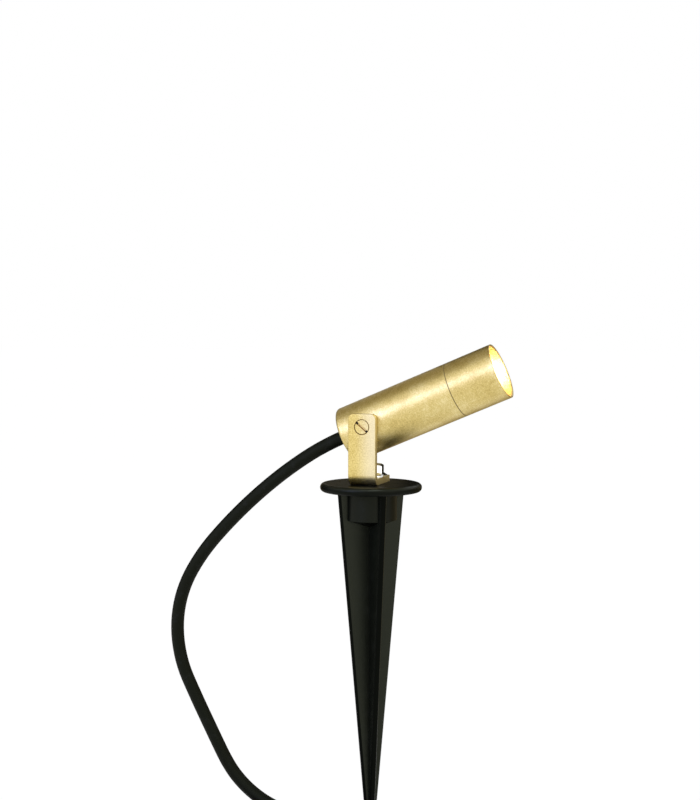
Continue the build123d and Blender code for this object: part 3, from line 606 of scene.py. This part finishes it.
def turned_brass():
    """Blasted bar with fine rings, a dirty seam, and a thread on the spigot under the hood."""
    material, tree, place = new_tree("turned_brass")
    station, across = along_beam(tree, place)
    rings = speckle(tree, stretched(tree, levelled(tree, place), (5200.0, 420.0, 420.0)), 1.0, 2.0)
    beads = speckle(tree, place, 1300.0, 3.0, 0.6)
    grain = rings * 0.35 + beads * 0.65
    from_seam = station.math("ABSOLUTE", station - SEAM)
    grime = 1 - stepped(tree, from_seam, SEAM_GRIME * 0.6, SEAM_GRIME * 1.4)
    radius = vectors(tree, "LENGTH", across, output="Value")
    past_seam = stepped(tree, station, *SPIGOT_FROM)
    on_spigot = past_seam * (1 - stepped(tree, radius, *SPIGOT_R))
    turns = station.math("PINGPONG", station, THREAD_PITCH / 2) / THREAD_PITCH
    finished(
        tree,
        rings * 0.6 + beads * 0.4 + on_spigot * turns * THREAD_RELIEF,
        0.00012,
        Base_Color=mixed(tree, grime * 0.9, brass_tone(tree, place, grain), BRASS_GRIME),
        Metallic=1 - grime * 0.6,
        Roughness=0.38 + grain * 0.10 + grime * 0.3,
        Coat_Weight=0.5 - grime * 0.5,
        Coat_Roughness=COAT_ROUGHNESS,
    )
    return material


strip_brass = blasted_brass("strip_brass")
bar_brass = turned_brass()
dressed("bracket", strip_brass)
dressed("pivot_screw", strip_brass)
dressed("barrel", bar_brass)
dressed("hood", bar_brass)
dressed("gland_nut", bar_brass)


# ---- Washer and rubber seals ----
# A natural nylon washer keeps the ear off the barrel. Two flat rings of moulded black rubber seal the
# glass, and a bush of the same rubber grips the cable.


def plain_moulding(name, shade, roughness, depth=0.00001):
    """Moulded plastic with a fine skin and a slight change of shade."""
    material, tree, place = new_tree(name)
    skin = speckle(tree, place, 2200.0)
    lighter = [min(1.0, 1.12 * part + 0.01) for part in shade]
    finished(
        tree,
        skin,
        depth,
        Base_Color=mixed(tree, skin, shade, lighter),
        Roughness=roughness + skin * 0.12,
    )
    return material


seal_rubber = rubber("seal_rubber", (0.006, 0.006, 0.006))
dressed("friction_washer", plain_moulding("washer_nylon", (0.62, 0.60, 0.50), 0.35))
for seal in ("glass_gasket", "spigot_seal", "gland_bush"):
    dressed(seal, seal_rubber)
dressed("cable_stub", cable_rubber)


# ---- Glass and lens ----
# Clear toughened glass with ground edges, and behind it a clear moulded lens in a white holder. The
# lens glows from the light that it gathers, most of all at its middle.

LAMP_COLOUR = (1.0, 0.80, 0.48)


def clear_glass():
    """Clear glass with a faint smear."""
    material, tree, place = new_tree("glass")
    smear = speckle(tree, place, 160.0, 4.0, 0.6)
    finished(
        tree,
        Base_Color=(0.97, 1.0, 0.985, 1),
        Roughness=0.015 + smear * 0.02,
        IOR=1.5,
        Transmission_Weight=1.0,
    )
    return material


def glowing_lens():
    """Clear acrylic with small facets, brightest on the beam's axis."""
    material, tree, place = new_tree("lens_acrylic")
    _, across = along_beam(tree, place)
    radius = vectors(tree, "LENGTH", across, output="Value")
    glow = 1 - stepped(tree, radius, 0.002, 0.012) * 0.75
    facets = node(tree, "ShaderNodeTexVoronoi", {}, {"Vector": place, "Scale": 900.0}, "Distance")
    finished(
        tree,
        facets,
        0.00005,
        Base_Color=(0.97, 0.96, 0.93, 1),
        Roughness=0.12 + facets * 0.1,
        IOR=1.49,
        Transmission_Weight=0.5,
        Emission_Color=mixed(tree, glow, (0.85, 0.50, 0.16), (1.0, 0.86, 0.60)),
        Emission_Strength=2.2,
    )
    return material


dressed("front_glass", clear_glass())
dressed("optic", glowing_lens())
dressed("optic_holder", plain_moulding("holder_plastic", (0.74, 0.73, 0.70), 0.4))


# ---- Light source ----
# A chip-on-board emitter on a round aluminium-core board with white solder mask, screwed through a soft
# pad to a turned aluminium plug.


def lit_phosphor():
    """Yellow phosphor, lit warm white."""
    material, tree, place = new_tree("phosphor")
    grain = speckle(tree, place, 4000.0)
    finished(
        tree,
        grain,
        0.00002,
        Base_Color=mixed(tree, grain, (0.90, 0.62, 0.12), (0.95, 0.74, 0.22)),
        Roughness=0.5 + grain * 0.1,
        Emission_Color=mixed(tree, grain, LAMP_COLOUR, (1.0, 0.86, 0.58)),
        Emission_Strength=12.0,
    )
    return material


def turned_aluminium():
    """Bare aluminium with fine rings."""
    material, tree, place = new_tree("aluminium")
    rings = speckle(tree, stretched(tree, levelled(tree, place), (7000.0, 300.0, 300.0)), 1.0, 2.0)
    finished(
        tree,
        rings,
        0.00001,
        Base_Color=mixed(tree, rings, (0.58, 0.59, 0.60), (0.78, 0.79, 0.80)),
        Metallic=1.0,
        Roughness=0.24 + rings * 0.14,
    )
    return material


def plated_steel():
    """Zinc-plated steel with a faint spangle."""
    material, tree, place = new_tree("screw_steel")
    spots = speckle(tree, place, 2600.0, 3.0)
    finished(
        tree,
        spots,
        0.00001,
        Base_Color=mixed(tree, spots, (0.44, 0.45, 0.46), (0.66, 0.67, 0.68)),
        Metallic=1.0,
        Roughness=0.28 + spots * 0.12,
    )
    return material


steel = plated_steel()
dressed("led_emitter", lit_phosphor())
dressed("led_board", plain_moulding("led_board", (0.80, 0.80, 0.77), 0.25))
dressed("led_screws", steel)
dressed("thermal_pad", plain_moulding("pad_grey", (0.16, 0.16, 0.17), 0.7))
dressed("heat_sink", turned_aluminium())


# ---- Driver ----
# A green board with its copper tracks under the mask, a screw terminal, a sleeved capacitor, a ferrite
# drum and the converter chip, in an insulating tube.


def masked_board():
    """Green solder mask over a pattern like copper tracks."""
    material, tree, place = new_tree("board_green")
    cells = node(
        tree,
        "ShaderNodeTexVoronoi",
        {"distance": "MANHATTAN", "feature": "F1"},
        {"Vector": levelled(tree, place), "Scale": 420.0},
        "Distance",
    )
    track = stepped(tree, cells, 0.42, 0.50)
    finished(
        tree,
        track,
        0.00003,
        Base_Color=mixed(tree, track, (0.012, 0.10, 0.035), (0.035, 0.22, 0.075)),
        Roughness=0.24 + track * 0.1,
    )
    return material


dressed("driver_sleeve", plain_moulding("sleeve_plastic", (0.66, 0.66, 0.62), 0.45))
dressed("driver_board", masked_board())
dressed("driver_terminal", plain_moulding("terminal_green", (0.02, 0.20, 0.07), 0.32))
dressed("clamp_screws", steel)
dressed("driver_capacitor", plain_moulding("capacitor_sleeve", (0.012, 0.012, 0.022), 0.25))
dressed("driver_inductor", plain_moulding("ferrite", (0.035, 0.035, 0.036), 0.6))
dressed("driver_chip", plain_moulding("chip_black", (0.012, 0.012, 0.012), 0.5))
dressed("led_wires", sheathing("wire_red_black", (0.30, 0.012, 0.010)))
dressed("input_core_brown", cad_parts["core_brown"].data.materials[0])
dressed("input_core_blue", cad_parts["core_blue"].data.materials[0])


# ---- Studio ----
# A pale floor at the level of the spike's tip, under a white surround. A bluish lamp on the left, which
# whitens the brass's highlight, a wide one on the right and a small one higher up light the piece. One
# black card and six dim warm ones show in reflections alone. A small lamp lights the hood from inside.

FLOOR_Z = -0.2151
FLOOR_GREY = (0.85, 0.85, 0.85, 1)
FLOOR_GLOW = 1.045
FLOOR_WHITE_SHARE = 0.92  # of what the eye and reflections see, the rest being lit grey
AMBIENT = 0.6
HOOD_LAMP_AT, HOOD_LAMP_AIM = 0.0680, 0.2  # along the beam from the pivot
WHITE = (1.0, 1.0, 1.0, 1.0)
WARM = (1.0, 0.83, 0.46, 1.0)


def flat_panel(name, centre, normal, width, height):
    """A rectangle that faces along its normal."""
    across = Vector(normal).cross((0.0, 0.0, 1.0))
    across = across.normalized() if across.length > 0.01 else Vector((1.0, 0.0, 0.0))
    upwards = across.cross(Vector(normal)).normalized()
    corners = [(-1, -1), (1, -1), (1, 1), (-1, 1)]
    places = [Vector(centre) + x * width / 2 * across + y * height / 2 * upwards for x, y in corners]
    mesh = bpy.data.meshes.new(name)
    mesh.from_pydata(places, [], [(0, 1, 2, 3)])
    panel = bpy.data.objects.new(name, mesh)
    scene.collection.objects.link(panel)
    return panel


def seen_directly(tree):
    """1 for the eye, a reflection and a look through glass, 0 for the light that falls on things."""
    eye = node(tree, "ShaderNodeLightPath", {}, {}, "Is Camera Ray")
    mirror = Field(eye.socket.node.outputs["Is Glossy Ray"])
    lens = Field(eye.socket.node.outputs["Is Transmission Ray"])
    return eye.math("MAXIMUM", eye, mirror.math("MAXIMUM", mirror, lens))


def pale_floor():
    """White to the eye and in reflections, where it still keeps a soft shadow."""
    material, tree, _ = new_tree("pale_floor")
    matt = node(tree, "ShaderNodeBsdfDiffuse", {}, {"Color": FLOOR_GREY})
    white = node(tree, "ShaderNodeEmission", {}, {"Color": WHITE, "Strength": FLOOR_GLOW})
    share = seen_directly(tree) * FLOOR_WHITE_SHARE
    both = node(tree, "ShaderNodeMixShader", {}, {"Fac": share, 1: matt, 2: white})
    node(tree, "ShaderNodeOutputMaterial", {}, {"Surface": both})
    return material


floor = flat_panel("floor", (0.0, 0.0, FLOOR_Z), (0.0, 0.0, 1.0), 30.0, 30.0)
floor.data.materials.append(pale_floor())

world = bpy.data.worlds.new("surround")
scene.world = world
world.use_nodes = True
world.node_tree.nodes.clear()
strength = AMBIENT + seen_directly(world.node_tree) * (1.0 - AMBIENT)
surround = node(world.node_tree, "ShaderNodeBackground", {}, {"Color": WHITE, "Strength": strength})
node(world.node_tree, "ShaderNodeOutputWorld", {}, {"Surface": surround})


def soft_lamp(name, place, target, size, power, colour=(1.0, 1.0, 1.0)):
    """A rectangular lamp of so many watts, turned to its target."""
    lamp = bpy.data.lights.new(name, "AREA")
    lamp.shape = "RECTANGLE"
    lamp.size, lamp.size_y = size
    lamp.energy = power
    lamp.color = colour
    holder = bpy.data.objects.new(name, lamp)
    holder.location = place
    aim = Vector(target) - Vector(place)
    holder.rotation_euler = aim.to_track_quat("-Z", "Y").to_euler()
    scene.collection.objects.link(holder)
    return holder


def towards(bearing, height, distance):
    """A place round the pivot: so many degrees from the front to the right, and so many up."""
    level = distance * cos(radians(height))
    across, ahead = level * sin(radians(bearing)), level * cos(radians(bearing))
    return PIVOT + Vector((across, -ahead, distance * sin(radians(height))))


soft_lamp("key_lamp", towards(-26, 17, 1.25), PIVOT, (0.5, 0.42), 3.3, (0.82, 0.94, 2.0))
soft_lamp("side_lamp", towards(58, 0, 1.3), PIVOT, (0.9, 0.9), 2.3)
soft_lamp("rim_lamp", towards(25, 52, 1.2), PIVOT, (0.14, 0.14), 3.6, (0.88, 0.97, 1.12))


def card(name, centre, width, height, glow, colour=WHITE):
    """A dim or black board that faces the pivot. Only reflections show it."""
    material, tree, _ = new_tree(name)
    grey = node(tree, "ShaderNodeEmission", {}, {"Color": colour, "Strength": glow})
    node(tree, "ShaderNodeOutputMaterial", {}, {"Surface": grey})
    board = flat_panel(name, centre, PIVOT - centre, width, height)
    board.data.materials.append(material)
    board.visible_camera = False
    board.visible_diffuse = False
    board.visible_transmission = False
    board.visible_shadow = False


card("card_behind", towards(180, 5, 1.3), 2.6, 0.9, 0.10, WARM)
card("card_left", towards(-118, 4, 0.9), 0.9, 0.75, 0.0)
card("card_right", towards(130, -2, 1.2), 1.0, 0.5, 0.36, (1.0, 0.76, 0.30, 1.0))
card("card_above", towards(-120, 50, 1.2), 1.6, 0.9, 0.29, WARM)
card("card_overhead", towards(0, 88, 1.1), 1.3, 0.9, 0.22, WARM)
card("card_bolt", Vector((0.0, 0.16, 0.115)), 0.08, 0.29, 0.02, WARM)
card("card_below", Vector((0.0, 0.22, FLOOR_Z + 0.001)), 1.1, 0.9, 0.34, WARM)

lamp_at = PIVOT + HOOD_LAMP_AT * BEAM
lamp_aim = PIVOT + HOOD_LAMP_AIM * BEAM
lamp_light = soft_lamp("beam_light", lamp_at, lamp_aim, (0.018, 0.018), 0.042, (1.0, 0.70, 0.86))
lamp_light.data.shape = "DISK"
lamp_light.visible_camera = False
